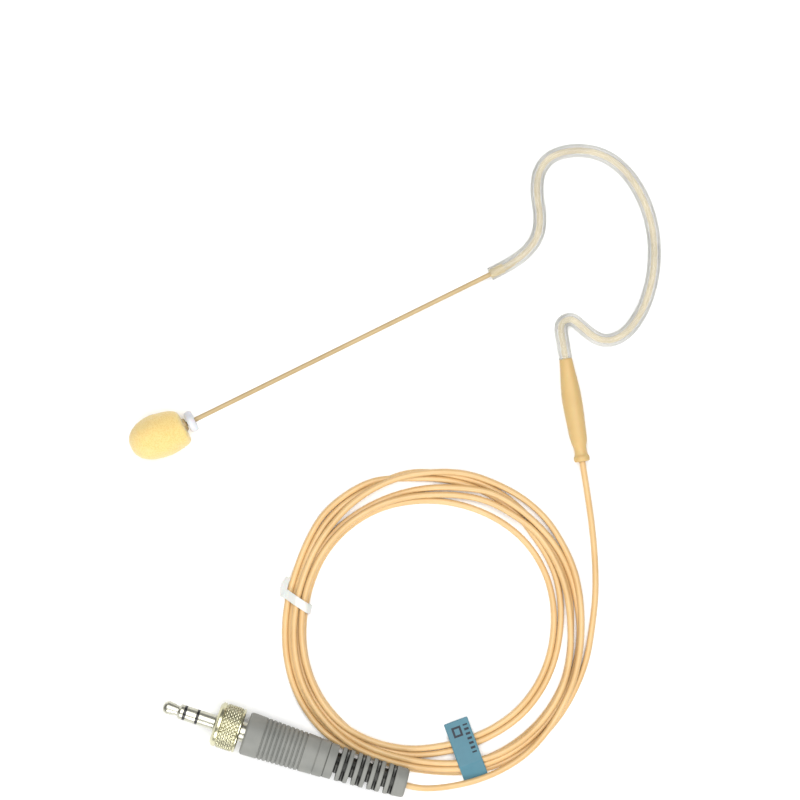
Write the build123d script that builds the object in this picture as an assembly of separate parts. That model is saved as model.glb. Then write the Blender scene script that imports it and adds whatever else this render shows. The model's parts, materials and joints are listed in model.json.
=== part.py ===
from build123d import *
import math
import os

# Single-ear headset microphone with its coiled cable and locking 3.5 mm plug, lying on a table.
# Millimetres. The table is Z = 0. The origin is under the middle of the headset itself, from the
# windscreen to the moulded sleeve below the ear; +X runs from the mouth to the ear, +Z is up.

# ---- driving dimensions ----------------------------------------------------------------------
BOOM_FRONT = Vector(-45.85, -26.87, 5.2)
BOOM_REAR = Vector(21.9, 6.6, 1.95)
BOOM_R = 0.55
BOOM_BORE_R = 0.34
BOOM_IN_TUBE = 3.4
BOOM_IN_CAPSULE = 2.6

FOAM_REAR = Vector(-48.1, -28.35, 5.3)
FOAM_TURN = 20.0
FOAM_LENGTH = 13.2
FOAM_OUTLINE = [(3.6, 0), (4.4, 1.2), (5.0, 3.4), (5.3, 6.0), (5.0, 8.6), (3.8, 11.3), (2.2, 12.8)]
FOAM_CLEARANCE = 0.1

# Capsule, measured along the boom from its front end: the can, and the stack of parts in it.
CAPSULE_R = 1.5
CAPSULE_WALL = 0.2
CAPSULE_INNER_R = CAPSULE_R - CAPSULE_WALL
CAPSULE_START = 2.05
CAPSULE_END = 9.4
FERRULE_RIM_END = CAPSULE_START + 0.6
FERRULE_END = CAPSULE_START + 2.2
CAPSULE_LIP = 0.15
GRILLE_FRONT = CAPSULE_END - CAPSULE_LIP
DIAPHRAGM_FRONT = GRILLE_FRONT - 0.2
SPACER_FRONT = DIAPHRAGM_FRONT - 0.5
HOLDER_FRONT = SPACER_FRONT - 0.1
BACKPLATE_BACK = HOLDER_FRONT - 0.3
BOARD_FRONT = HOLDER_FRONT - 2.2
BACKPLATE_R = 1.05

RING_R = 2.53
RING_HALF_LENGTH = 0.92
RING_MIDDLE = 0.85

EAR_TUBE_R = 1.5
EAR_TUBE_BORE_R = 0.95
HOOK_CORE_R = 0.65
JUNCTION_TOP = Vector(39.2, -12.8, 2.2)
JUNCTION_DIRECTION = Vector(0.16, -0.987, 0)
JUNCTION_LENGTH = 24.0
JUNCTION_OUTLINE = [
    (1.5, 0),
    (1.6, 2.0),
    (2.0, 6.0),
    (2.2, 10.0),
    (2.1, 14.0),
    (1.95, 18.0),
    (1.42, 20.6),
    (1.4, 22.0),
]
JUNCTION_LIP_R = 1.8
CORE_IN_JUNCTION = 5.0
CHAMBER_R = 1.05
CHAMBER_START = 3.5
CHAMBER_END = 17.5

CABLE_R = 0.71
COIL_CENTRE = Vector(9.4, -74.75, 0)
COIL_BOTTOM = 0.35
COIL_TOP = 3.5
# outer and inner radius of the coil every 45 degrees, clockwise from +X as seen from above
COIL_OUTER = [36.3, 35.6, 33.0, 34.6, 34.7, 37.6, 36.6, 36.5]
COIL_INNER = [26.3, 26.0, 26.5, 30.2, 30.1, 30.5, 28.5, 27.9]
TIE_ANGLE = 192.5
TIE_WIDTH = 2.3
TIE_THICKNESS = 0.3

# Plug, measured along it from the tip towards the cable.
PLUG_TIP = Vector(-53.0, -92.25, 5.2)
PLUG_TURN = -18.2
JACK_R = 1.75
TIP_WAIST_END = 4.15
TIP_END = 4.9
RING_START = 5.5
RING_END = 7.9
SLEEVE_START = 8.5
SHOULDER = 12.4
NECK_R = 2.3
ANCHOR_R = 3.0
ANCHOR_START = 20.6
ANCHOR_END = 21.8
NUT_R = 5.2
NUT_START = 12.6
NUT_END = 18.6
CIRCLIP_R = 3.1
CIRCLIP_START = 15.7
CIRCLIP_END = 16.2
HANDLE_START = 19.7
HANDLE_END = 39.3
HANDLE_FRONT_R = 5.0
HANDLE_REAR_R = 4.25
SOCKET_R = 2.6
SOCKET_START = 36.0
BOOT_END = 58.4
CABLE_START = 34.0

# Radius of each layer inside the jack, and where it ends inside the handle.
TIP_ROD_R = 0.45
TIP_LINER_R = 0.7
RING_ROD_R = 1.05
RING_LINER_R = 1.3
TIP_ROD_END = 26.0
TIP_LINER_END = 24.0
RING_ROD_END = 23.5
RING_LINER_END = 22.5

LABEL_CENTRE = Vector(16.3, -102.65, 3.65)
LABEL_TURN = -69.8
LABEL_SIZE = (13.9, 5.7, 0.25)

# Shape of the clear ear tube: corners of its centre line, from the boom to the moulded sleeve.
HOOK_ROUTE = [
    (21.9, 6.6, 1.95),
    (26.75, 9.0, 1.72),
    (30.4, 11.8, 1.55),
    (32.9, 15.2, 1.5),
    (33.5, 19.8, 1.5),
    (32.5, 25.6, 1.5),
    (33.0, 30.3, 1.5),
    (35.4, 33.5, 1.5),
    (39.2, 34.95, 1.5),
    (43.5, 35.15, 1.5),
    (47.7, 34.2, 1.5),
    (51.3, 32.0, 1.5),
    (54.5, 28.6, 1.5),
    (57.0, 24.3, 1.5),
    (58.8, 19.4, 1.5),
    (59.65, 14.2, 1.5),
    (59.65, 8.9, 1.5),
    (58.8, 3.6, 1.5),
    (57.1, -1.4, 1.5),
    (54.5, -5.6, 1.5),
    (51.6, -8.0, 1.5),
    (48.5, -8.8, 1.5),
    (45.5, -7.8, 1.5),
    (41.4, -4.0, 1.5),
    (40.0, -3.7, 1.5),
    (38.7, -4.28, 1.6),
    (38.0, -5.52, 1.8),
    (38.58, -9.1, 2.2),
    (39.2, -12.8, 2.2),
]

# Free cable: from the sleeve down to the coil, and from the coil up into the plug's boot.
LEAD_ROUTE = [
    (43.04, -36.49, 2.2),
    (44.15, -43.3, 2.0),
    (45.4, -51.5, 0.9),
    (46.15, -60.0, 0.73),
    (46.2, -67.6, 0.73),
    (45.4, -74.9, 0.8),
    (43.6, -81.2, 0.8),
]
TAIL_ROUTE = [
    (2.48, -110.49, 5.2),
    (6.6, -111.35, 4.5),
    (12.0, -111.1, 3.3),
    (18.2, -109.9, 2.55),
    (24.6, -107.4, 2.3),
    (30.4, -103.6, 2.3),
    (34.9, -98.6, 2.35),
]


# ---- helpers ---------------------------------------------------------------------------------
def corner_radii(points, closed=False):
    """Radius of the arc at each corner: as large as its two straight runs allow."""
    spots = [Vector(*p) for p in points]
    if closed:
        spots = [spots[-1]] + spots + [spots[0]]
    radii = []
    for before, here, after in zip(spots, spots[1:], spots[2:]):
        turn = math.radians((here - before).get_angle(after - here))
        shorter = min((here - before).length, (after - here).length)
        radii.append(0.45 * shorter / math.tan(turn / 2))
    return radii


def bent_tube(points, outer_r, bore_r=0.0):
    """Tube along straight runs joined by tangent arcs."""
    path = FilletPolyline(*points, radius=corner_radii(points))
    section = Circle(outer_r)
    if bore_r > 0:
        section = section - Circle(bore_r)
    start = Plane(origin=path @ 0, z_dir=path % 0)
    return sweep(start * section, path=path), path.length


def turned(outline):
    """Solid of revolution about local Z from (radius, height) corners."""
    return revolve(make_face(Plane.XZ * Polyline(*outline, close=True)), Axis.Z)


def smooth_turned(outline, closing):
    """Solid of revolution whose outer line is smooth, closed by straight (radius, height) corners."""
    curve = Plane.XZ * Spline(*outline)
    rest = Plane.XZ * Polyline(outline[-1], *closing, outline[0])
    return revolve(make_face(curve + rest), Axis.Z)


def ring(outer_r, inner_r, start, end):
    return turned([(inner_r, start), (outer_r, start), (outer_r, end), (inner_r, end)])


def disc(radius, start, end):
    return turned([(0, start), (radius, start), (radius, end), (0, end)])


def heading(degrees):
    return Vector(math.cos(math.radians(degrees)), math.sin(math.radians(degrees)), 0)


# ---- local frames ----------------------------------------------------------------------------
# Along the boom towards the mouth, along the moulded sleeve away from the ear, and along the
# plug from its tip to the cable.
boom_axis = (BOOM_FRONT - BOOM_REAR).normalized()
boom_length = (BOOM_FRONT - BOOM_REAR).length
boom_frame = Plane(origin=BOOM_FRONT, x_dir=(0, 0, 1), z_dir=boom_axis)
junction_frame = Plane(origin=JUNCTION_TOP, x_dir=(0, 0, 1), z_dir=JUNCTION_DIRECTION)
plug_frame = Plane(origin=PLUG_TIP, x_dir=(0, 0, 1), z_dir=heading(PLUG_TURN))


# ---- windscreen and capsule ------------------------------------------------------------------
def windscreen():
    foam_frame = Plane(origin=FOAM_REAR, x_dir=(0, 0, 1), z_dir=-heading(FOAM_TURN))
    egg = foam_frame * smooth_turned(FOAM_OUTLINE + [(0, FOAM_LENGTH)], [(0, 0)])
    bore_r = CAPSULE_R + FOAM_CLEARANCE
    bore = disc(bore_r, CAPSULE_START - 2, CAPSULE_END + FOAM_CLEARANCE)
    return egg - boom_frame * bore


def capsule_housing():
    """Can with a rolled front lip."""
    lip_r = 0.9
    return turned([
        (CAPSULE_INNER_R, FERRULE_RIM_END),
        (CAPSULE_R, FERRULE_RIM_END),
        (CAPSULE_R, CAPSULE_END - CAPSULE_LIP),
        (CAPSULE_R - CAPSULE_LIP, CAPSULE_END),
        (lip_r, CAPSULE_END),
        (lip_r, CAPSULE_END - CAPSULE_LIP),
        (CAPSULE_INNER_R, CAPSULE_END - CAPSULE_LIP),
    ])


def pierced(plate, hole_r, circle_r, count, first_turn=0.0):
    """A disc with a circle of small holes through it."""
    hole = disc(hole_r, CAPSULE_START, CAPSULE_END)
    for i in range(count):
        spot = heading(first_turn + 360 / count * i) * circle_r
        plate -= Pos(spot.X, spot.Y, 0) * hole
    return plate


def capsule_grille():
    """Front disc with a centre hole and a circle of sound holes."""
    hole_r = 0.11
    plate = ring(CAPSULE_INNER_R, hole_r, DIAPHRAGM_FRONT, GRILLE_FRONT)
    return pierced(plate, hole_r, 0.6, 8)


def diaphragm_ring():
    """Metal ring with the foil stretched across its front."""
    foil = disc(CAPSULE_INNER_R, DIAPHRAGM_FRONT - 0.04, DIAPHRAGM_FRONT)
    return foil + ring(CAPSULE_INNER_R, 1.0, SPACER_FRONT, DIAPHRAGM_FRONT - 0.04)


def backplate_spacer():
    return ring(CAPSULE_INNER_R, 1.0, HOLDER_FRONT, SPACER_FRONT)


def backplate():
    """Perforated plate that sits in the insulating cup."""
    return pierced(disc(BACKPLATE_R, BACKPLATE_BACK, HOLDER_FRONT), 0.1, 0.6, 4, 45)


def backplate_holder():
    """Insulating cup between the plate and the board."""
    bore_r = 0.85
    return turned([
        (bore_r, BOARD_FRONT),
        (CAPSULE_INNER_R, BOARD_FRONT),
        (CAPSULE_INNER_R, HOLDER_FRONT),
        (BACKPLATE_R, HOLDER_FRONT),
        (BACKPLATE_R, BACKPLATE_BACK),
        (bore_r, BACKPLATE_BACK),
    ])


def capsule_board():
    """Round board with its amplifier chip, behind the insulating cup."""
    board = disc(CAPSULE_INNER_R, BOARD_FRONT - 0.4, BOARD_FRONT)
    chip = Pos(0, 0, BOARD_FRONT + 0.3) * Box(0.9, 0.7, 0.6)
    return board + chip


def capsule_ferrule():
    """Rear plug: fills the back of the can and grips the boom."""
    chamfer = 0.25
    return turned([
        (BOOM_R, CAPSULE_START),
        (CAPSULE_R - chamfer, CAPSULE_START),
        (CAPSULE_R, CAPSULE_START + chamfer),
        (CAPSULE_R, FERRULE_RIM_END),
        (CAPSULE_INNER_R, FERRULE_RIM_END),
        (CAPSULE_INNER_R, FERRULE_END),
        (BOOM_R, FERRULE_END),
    ])


def sweat_ring():
    """Rounded collar that slides on the boom."""
    bore_r = BOOM_R + 0.05
    body = ring(RING_R, bore_r, -RING_HALF_LENGTH, RING_HALF_LENGTH)
    rims = body.edges().filter_by(GeomType.CIRCLE).filter_by(lambda edge: edge.radius > bore_r)
    return Pos(0, 0, RING_MIDDLE) * fillet(rims, radius=0.6)


# ---- boom and ear hook -----------------------------------------------------------------------
def boom_tube():
    return ring(BOOM_R, BOOM_BORE_R, -boom_length - BOOM_IN_TUBE, BOOM_IN_CAPSULE)


def boom_wire():
    """Pair of fine enamelled wires inside the boom."""
    wire_r = 0.14
    offset = 0.16
    wire = disc(wire_r, -boom_length, BOOM_IN_CAPSULE + 0.8)
    return Compound(children=[Pos(side * offset, 0, 0) * wire for side in (-1, 1)])


def tube_sleeve():
    """Short collar between the boom and the mouth of the clear tube."""
    return ring(EAR_TUBE_BORE_R - 0.02, BOOM_R, -boom_length - BOOM_IN_TUBE, -boom_length)


def ear_tube():
    return bent_tube(HOOK_ROUTE, EAR_TUBE_R, EAR_TUBE_BORE_R)[0]


def hook_core():
    """Malleable core: butts on the boom inside the tube and ends in the moulded sleeve."""
    start = BOOM_REAR - boom_axis * BOOM_IN_TUBE
    end = JUNCTION_TOP + JUNCTION_DIRECTION * CORE_IN_JUNCTION
    corners = [tuple(start)] + HOOK_ROUTE[1:-1] + [tuple(end)]
    return bent_tube(corners, HOOK_CORE_R)[0]


# ---- moulded sleeve below the ear ------------------------------------------------------------
def junction_sleeve():
    """Spindle-shaped strain relief with a lip where the cable leaves."""
    lip = [(1.55, 22.5), (JUNCTION_LIP_R, 22.9), (JUNCTION_LIP_R, 23.7), (1.6, JUNCTION_LENGTH)]
    body = smooth_turned(JUNCTION_OUTLINE, lip + [(0, JUNCTION_LENGTH), (0, 0)])
    core_hole = disc(HOOK_CORE_R + 0.03, -1, CHAMBER_START)
    chamber = disc(CHAMBER_R, CHAMBER_START, CHAMBER_END)
    cable_hole = disc(0.5, CHAMBER_END, JUNCTION_LENGTH - 1)
    return body - core_hole - chamber - cable_hole


def core_ferrule():
    """Crimp tube over the end of the hook's core."""
    return ring(1.0, HOOK_CORE_R, CHAMBER_START, CHAMBER_START + 4)


def cable_crimp():
    """Crimp tube that takes the cable's pull inside the sleeve."""
    return ring(1.0, 0.5, CHAMBER_END - 5, CHAMBER_END - 0.2)


def junction_wires():
    return disc(0.42, CORE_IN_JUNCTION, JUNCTION_LENGTH - 1.1)


# ---- cable -----------------------------------------------------------------------------------
def coil_ring():
    """Outer shape of the coil: a flat ring whose two outlines wander like the turns do."""
    rims = []
    for radii in (COIL_OUTER, COIL_INNER):
        count = len(radii)
        corners = []
        for i in range(2 * count):
            radius = (radii[i // 2] + radii[(i + 1) // 2 % count]) / 2
            spot = COIL_CENTRE + heading(-180 / count * i) * radius
            corners.append((spot.X, spot.Y))
        line = FilletPolyline(*corners, radius=corner_radii(corners, closed=True), close=True)
        rims.append(make_face(line))
    flat = Pos(0, 0, COIL_BOTTOM) * (rims[0] - rims[1])
    body = extrude(flat, amount=COIL_TOP - COIL_BOTTOM)
    return body


def tie_frame():
    middle = COIL_CENTRE + heading(-TIE_ANGLE) * (COIL_OUTER[4] + COIL_INNER[4]) * 0.5
    return Plane(origin=(middle.X, middle.Y, 0), x_dir=heading(-TIE_ANGLE), z_dir=(0, 0, 1))


def cable_tie(coil):
    """Flat band wrapped once round the bundle."""
    width = COIL_OUTER[4] - COIL_INNER[4] + 2 * TIE_THICKNESS
    height = COIL_TOP + TIE_THICKNESS - 0.05
    band = Pos(0, 0, 0.05 + height / 2) * Box(width, TIE_WIDTH, height)
    band = fillet(band.edges().filter_by(Axis.Y), radius=0.8)
    return tie_frame() * band - coil


def label_tag():
    placed = Plane(origin=LABEL_CENTRE, x_dir=heading(LABEL_TURN), z_dir=(0, 0, 1))
    return placed * Box(*LABEL_SIZE)


# ---- plug ------------------------------------------------------------------------------------
def tip_contact():
    """Pointed tip with its waist, and the rod that carries it to the tip lug."""
    return turned([
        (0, 0),
        (0.55, 0.2),
        (1.45, 1.1),
        (1.7, 1.7),
        (1.62, 2.4),
        (1.25, 3.3),
        (1.25, 3.7),
        (JACK_R, TIP_WAIST_END),
        (JACK_R, TIP_END),
        (TIP_ROD_R, TIP_END),
        (TIP_ROD_R, TIP_ROD_END),
        (0, TIP_ROD_END),
    ])


def collared_liner(inner_r, outer_r, start, collar_end, end):
    """Band as wide as the jack, and the liner or rod that runs back from it into the handle."""
    return turned([
        (inner_r, start),
        (JACK_R, start),
        (JACK_R, collar_end),
        (outer_r, collar_end),
        (outer_r, end),
        (inner_r, end),
    ])


def front_insulator():
    return collared_liner(TIP_ROD_R, TIP_LINER_R, TIP_END, RING_START, TIP_LINER_END)


def ring_contact():
    return collared_liner(TIP_LINER_R, RING_ROD_R, RING_START, RING_END, RING_ROD_END)


def rear_insulator():
    return collared_liner(RING_ROD_R, RING_LINER_R, RING_END, SLEEVE_START, RING_LINER_END)


def jack_sleeve():
    """Sleeve contact, shoulder, the flange that keeps the nut, neck, and the anchor in the handle."""
    flange_r = 2.6
    flange_start = 14.2
    flange_end = 14.8
    return turned([
        (RING_LINER_R, SLEEVE_START),
        (JACK_R, SLEEVE_START),
        (JACK_R, SHOULDER),
        (NECK_R, SHOULDER),
        (NECK_R, flange_start),
        (flange_r, flange_start),
        (flange_r, flange_end),
        (NECK_R, flange_end),
        (NECK_R, ANCHOR_START),
        (ANCHOR_R, ANCHOR_START),
        (ANCHOR_R, ANCHOR_END),
        (RING_LINER_R, ANCHOR_END),
    ])


def lock_nut():
    """Captive nut: thread at the front, a groove for the circlip, a running bore on the neck."""
    thread_r = 2.75
    thread_depth = 0.25
    thread_count = 5
    pitch = 0.5
    chamfer = 0.6
    running_r = NECK_R + 0.06
    groove_r = CIRCLIP_R + 0.1
    inner = [(thread_r, NUT_START)]
    for i in range(thread_count):
        crest = NUT_START + 0.3 + pitch * i
        inner.append((thread_r, crest))
        inner.append((thread_r + thread_depth, crest + pitch / 2))
    inner += [
        (thread_r, CIRCLIP_START - 0.15),
        (groove_r, CIRCLIP_START - 0.1),
        (groove_r, CIRCLIP_END + 0.1),
        (running_r, CIRCLIP_END + 0.1),
        (running_r, NUT_END),
    ]
    outer = [
        (NUT_R - chamfer, NUT_END),
        (NUT_R, NUT_END - chamfer),
        (NUT_R, NUT_START + chamfer),
        (NUT_R - chamfer, NUT_START),
    ]
    return turned(inner + outer)


def nut_circlip():
    """Open spring ring that rides in the nut's groove."""
    clip = ring(CIRCLIP_R, NECK_R + 0.1, CIRCLIP_START, CIRCLIP_END)
    gap = Pos(3, 0, CIRCLIP_START) * Box(4, 1.2, 2)
    return clip - gap


def plug_handle():
    """Tapered grip shell with a band of ring grooves, hollow round the solder tags."""
    groove_count = 10
    groove_pitch = 1.06
    first_groove = 24.0
    depth = 0.22
    half_width = 0.2
    marker = 36.7
    marker_depth = 0.12
    cavity_r = 3.2

    def skin(s):
        share = (s - HANDLE_START) / (HANDLE_END - HANDLE_START)
        return HANDLE_FRONT_R + (HANDLE_REAR_R - HANDLE_FRONT_R) * share

    outer = [(HANDLE_FRONT_R - 0.4, HANDLE_START), (skin(HANDLE_START + 0.4), HANDLE_START + 0.4)]
    for i in range(groove_count):
        s = first_groove + groove_pitch * i
        outer += [
            (skin(s) + 0.04, s - half_width),
            (skin(s) - depth, s - half_width / 2),
            (skin(s) - depth, s + half_width / 2),
            (skin(s) + 0.04, s + half_width),
        ]
    outer += [
        (skin(marker), marker),
        (skin(marker) - marker_depth, marker + 0.1),
        (skin(marker) - marker_depth, marker + 0.25),
        (skin(marker), marker + 0.35),
        (HANDLE_REAR_R, HANDLE_END),
    ]
    inner = [
        (SOCKET_R, HANDLE_END),
        (SOCKET_R, SOCKET_START),
        (cavity_r, SOCKET_START),
        (cavity_r, ANCHOR_END),
        (ANCHOR_R, ANCHOR_END),
        (ANCHOR_R, ANCHOR_START),
        (NECK_R, ANCHOR_START),
        (NECK_R, HANDLE_START),
    ]
    return turned(outer + inner)


def strain_boot():
    """Boot whose slats are joined by pairs of ribs, each pair a quarter turn from the last."""
    bore_r = CABLE_R + 0.01
    spigot_r = SOCKET_R - 0.05
    spigot_start = SOCKET_START + 0.2
    collar_r = 4.1
    collar_end = 41.4
    rear_r = 3.35
    chamfer = 0.3
    core_r = 1.5
    slot_count = 8
    last_slat_end = 56.5
    rib_width = 1.8
    rib_turn = 17.0
    body = turned([
        (bore_r, spigot_start),
        (spigot_r, spigot_start),
        (spigot_r, HANDLE_END),
        (collar_r, HANDLE_END),
        (collar_r - 0.15, collar_end),
        (rear_r, BOOT_END - chamfer),
        (rear_r - chamfer, BOOT_END),
        (bore_r, BOOT_END),
    ])
    pitch = (last_slat_end - collar_end) / slot_count
    slot_width = pitch * 0.42
    for i in range(slot_count):
        start = collar_end + pitch * i
        slot = ring(collar_r + 1, core_r, start, start + slot_width)
        rib = Box(3 * collar_r, rib_width, 2 * pitch)
        body -= slot - Pos(0, 0, start) * Rot(0, 0, rib_turn + 90 * (i % 2)) * rib
    return body


def cable_in_boot():
    return disc(CABLE_R, CABLE_START, BOOT_END)


def cable_clamp():
    """Crimped band round the cable jacket."""
    return ring(1.15, CABLE_R, CABLE_START + 0.4, CABLE_START + 1.7)


def solder_tag(inner_r, outer_r, start, turn):
    """Ring on the contact's rear end with one tongue that points at the cable."""
    thickness = 0.6
    collar = ring(outer_r, inner_r, start, start + thickness)
    tongue_length = 4.5
    tongue = Box(0.4, 1.0, tongue_length)
    tongue = Pos(outer_r, 0, start + (thickness + tongue_length) / 2) * tongue
    return Rot(0, 0, turn) * (collar + tongue)


def solder_wire(offset, start, turn):
    """Stripped conductor from its tag to the end of the jacket."""
    run = [
        (offset, 0, start),
        (offset, 0.05, start + 3),
        (0.35, 0.05, CABLE_START - 2.5),
        (0.35, 0, CABLE_START),
    ]
    return Rot(0, 0, turn) * bent_tube(run, 0.2)[0]


# ---- build and write -------------------------------------------------------------------------
coil = coil_ring()
lead, lead_length = bent_tube(LEAD_ROUTE, CABLE_R)
tail, tail_length = bent_tube(TAIL_ROUTE, CABLE_R)

parts = {
    "windscreen": windscreen(),
    "ear_tube": ear_tube(),
    "hook_core": hook_core(),
    "cable_lead": lead,
    "cable_coil": coil,
    "cable_tail": tail,
    "cable_tie": cable_tie(coil),
    "label_tag": label_tag(),
}
on_boom = {
    "capsule_housing": capsule_housing(),
    "capsule_grille": capsule_grille(),
    "diaphragm_ring": diaphragm_ring(),
    "backplate_spacer": backplate_spacer(),
    "backplate": backplate(),
    "backplate_holder": backplate_holder(),
    "capsule_board": capsule_board(),
    "capsule_ferrule": capsule_ferrule(),
    "sweat_ring": sweat_ring(),
    "boom_tube": boom_tube(),
    "boom_wire": boom_wire(),
    "tube_sleeve": tube_sleeve(),
}
in_junction = {
    "junction_sleeve": junction_sleeve(),
    "core_ferrule": core_ferrule(),
    "cable_crimp": cable_crimp(),
    "junction_wires": junction_wires(),
}
on_plug = {
    "tip_contact": tip_contact(),
    "front_insulator": front_insulator(),
    "ring_contact": ring_contact(),
    "rear_insulator": rear_insulator(),
    "jack_sleeve": jack_sleeve(),
    "lock_nut": lock_nut(),
    "nut_circlip": nut_circlip(),
    "plug_handle": plug_handle(),
    "strain_boot": strain_boot(),
    "cable_in_boot": cable_in_boot(),
    "cable_clamp": cable_clamp(),
    "tip_lug": solder_tag(TIP_ROD_R, TIP_ROD_R + 0.5, 25.0, 0),
    "ring_lug": solder_tag(RING_ROD_R, RING_ROD_R + 0.5, 22.7, 120),
    "sleeve_lug": solder_tag(RING_LINER_R, RING_LINER_R + 0.7, 21.85, 240),
    "tip_wire": solder_wire(1.4, 29.5, 0),
    "ring_wire": solder_wire(2.0, 27.5, 120),
    "sleeve_wire": solder_wire(2.5, 26.5, 240),
}
for frame, group in ((boom_frame, on_boom), (junction_frame, in_junction), (plug_frame, on_plug)):
    for name, solid in group.items():
        parts[name] = frame * solid

os.makedirs("parts", exist_ok=True)
for name, solid in parts.items():
    export_step(solid, f"parts/{name}.step")

section = math.pi * CABLE_R ** 2
for name, solid, length, points in (
    ("lead", lead, lead_length, LEAD_ROUTE),
    ("tail", tail, tail_length, TAIL_ROUTE),
):
    print(name, "radii", [round(r, 1) for r in corner_radii(points)])
    print(name, "volume over section times length", round(solid.volume / (section * length), 4))
print("ear tube radii", [round(r, 1) for r in corner_radii(HOOK_ROUTE)])
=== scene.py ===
import bmesh
import bpy
import json
import math
from mathutils import Matrix, Vector, noise


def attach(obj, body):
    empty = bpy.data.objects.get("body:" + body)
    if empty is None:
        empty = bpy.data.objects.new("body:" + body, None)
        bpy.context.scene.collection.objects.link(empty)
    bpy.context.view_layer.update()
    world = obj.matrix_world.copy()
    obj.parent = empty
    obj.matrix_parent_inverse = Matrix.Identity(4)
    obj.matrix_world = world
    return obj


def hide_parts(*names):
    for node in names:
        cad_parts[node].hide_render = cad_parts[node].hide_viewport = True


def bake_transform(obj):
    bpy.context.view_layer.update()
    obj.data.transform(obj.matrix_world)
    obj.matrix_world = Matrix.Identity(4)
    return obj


# Looks of a single-ear headset microphone with its coiled cable and locking plug, lying on a
# pale table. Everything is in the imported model's frame, in metres; MM turns millimetres into it.
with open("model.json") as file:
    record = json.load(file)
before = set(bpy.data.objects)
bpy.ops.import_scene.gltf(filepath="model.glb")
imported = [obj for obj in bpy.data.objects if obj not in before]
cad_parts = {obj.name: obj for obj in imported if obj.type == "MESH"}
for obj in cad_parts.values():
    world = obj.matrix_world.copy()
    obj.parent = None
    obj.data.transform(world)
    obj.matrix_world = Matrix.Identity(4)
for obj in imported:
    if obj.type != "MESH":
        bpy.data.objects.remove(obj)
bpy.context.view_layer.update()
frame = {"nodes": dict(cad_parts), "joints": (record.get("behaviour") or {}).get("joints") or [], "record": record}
MM = 0.001
JOINTS = {joint["name"]: joint for joint in frame["joints"]}


# ---- camera, light and table -----------------------------------------------------------------
def add_object(name, data):
    thing = bpy.data.objects.new(name, data)
    bpy.context.scene.collection.objects.link(thing)
    return thing


def add_camera():
    """Looks straight down, with +Y at the top of the picture."""
    lens = bpy.data.cameras.new("camera")
    lens.lens = 135
    lens.sensor_width = 36
    camera = add_object("camera", lens)
    camera.location = Vector((1.15, -22.3, 691.5)) * MM
    bpy.context.scene.camera = camera


def add_softbox(name, place, target, size, power):
    lamp = bpy.data.lights.new(name, "AREA")
    lamp.shape = "RECTANGLE"
    lamp.size = size[0]
    lamp.size_y = size[1]
    lamp.energy = power
    box = add_object(name, lamp)
    box.location = place
    box.rotation_euler = (Vector(target) - Vector(place)).to_track_quat("-Z", "Y").to_euler()


def add_light():
    middle = (0.0, -0.04, 0.0)
    add_softbox("top_softbox", (0.06, 0.10, 0.75), middle, (0.9, 0.7), 7.6)
    add_softbox("front_softbox", (-0.12, -0.62, 0.42), middle, (0.55, 0.35), 3.6)
    world = bpy.data.worlds.new("studio")
    bpy.context.scene.world = world
    world.use_nodes = True
    world.node_tree.nodes["Background"].inputs["Color"].default_value = (0.95, 0.97, 1.0, 1.0)
    world.node_tree.nodes["Background"].inputs["Strength"].default_value = 0.22
    bpy.context.scene.view_settings.view_transform = "Standard"


def add_table():
    mesh = bpy.data.meshes.new("table")
    half = 1.5
    corners = [(-half, -half, 0), (half, -half, 0), (half, half, 0), (-half, half, 0)]
    mesh.from_pydata(corners, [], [(0, 1, 2, 3)])
    table = add_object("table", mesh)
    table.data.materials.append(plain_paint("table_paper", (0.97, 0.97, 0.965), 0.6))


# ---- materials -------------------------------------------------------------------------------
def srgb(red, green, blue):
    """Linear colour from the 0 to 255 values that a screen shows."""
    linear = []
    for value in (red, green, blue):
        share = value / 255
        linear.append(share / 12.92 if share <= 0.04045 else ((share + 0.055) / 1.055) ** 2.4)
    return tuple(linear)


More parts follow.
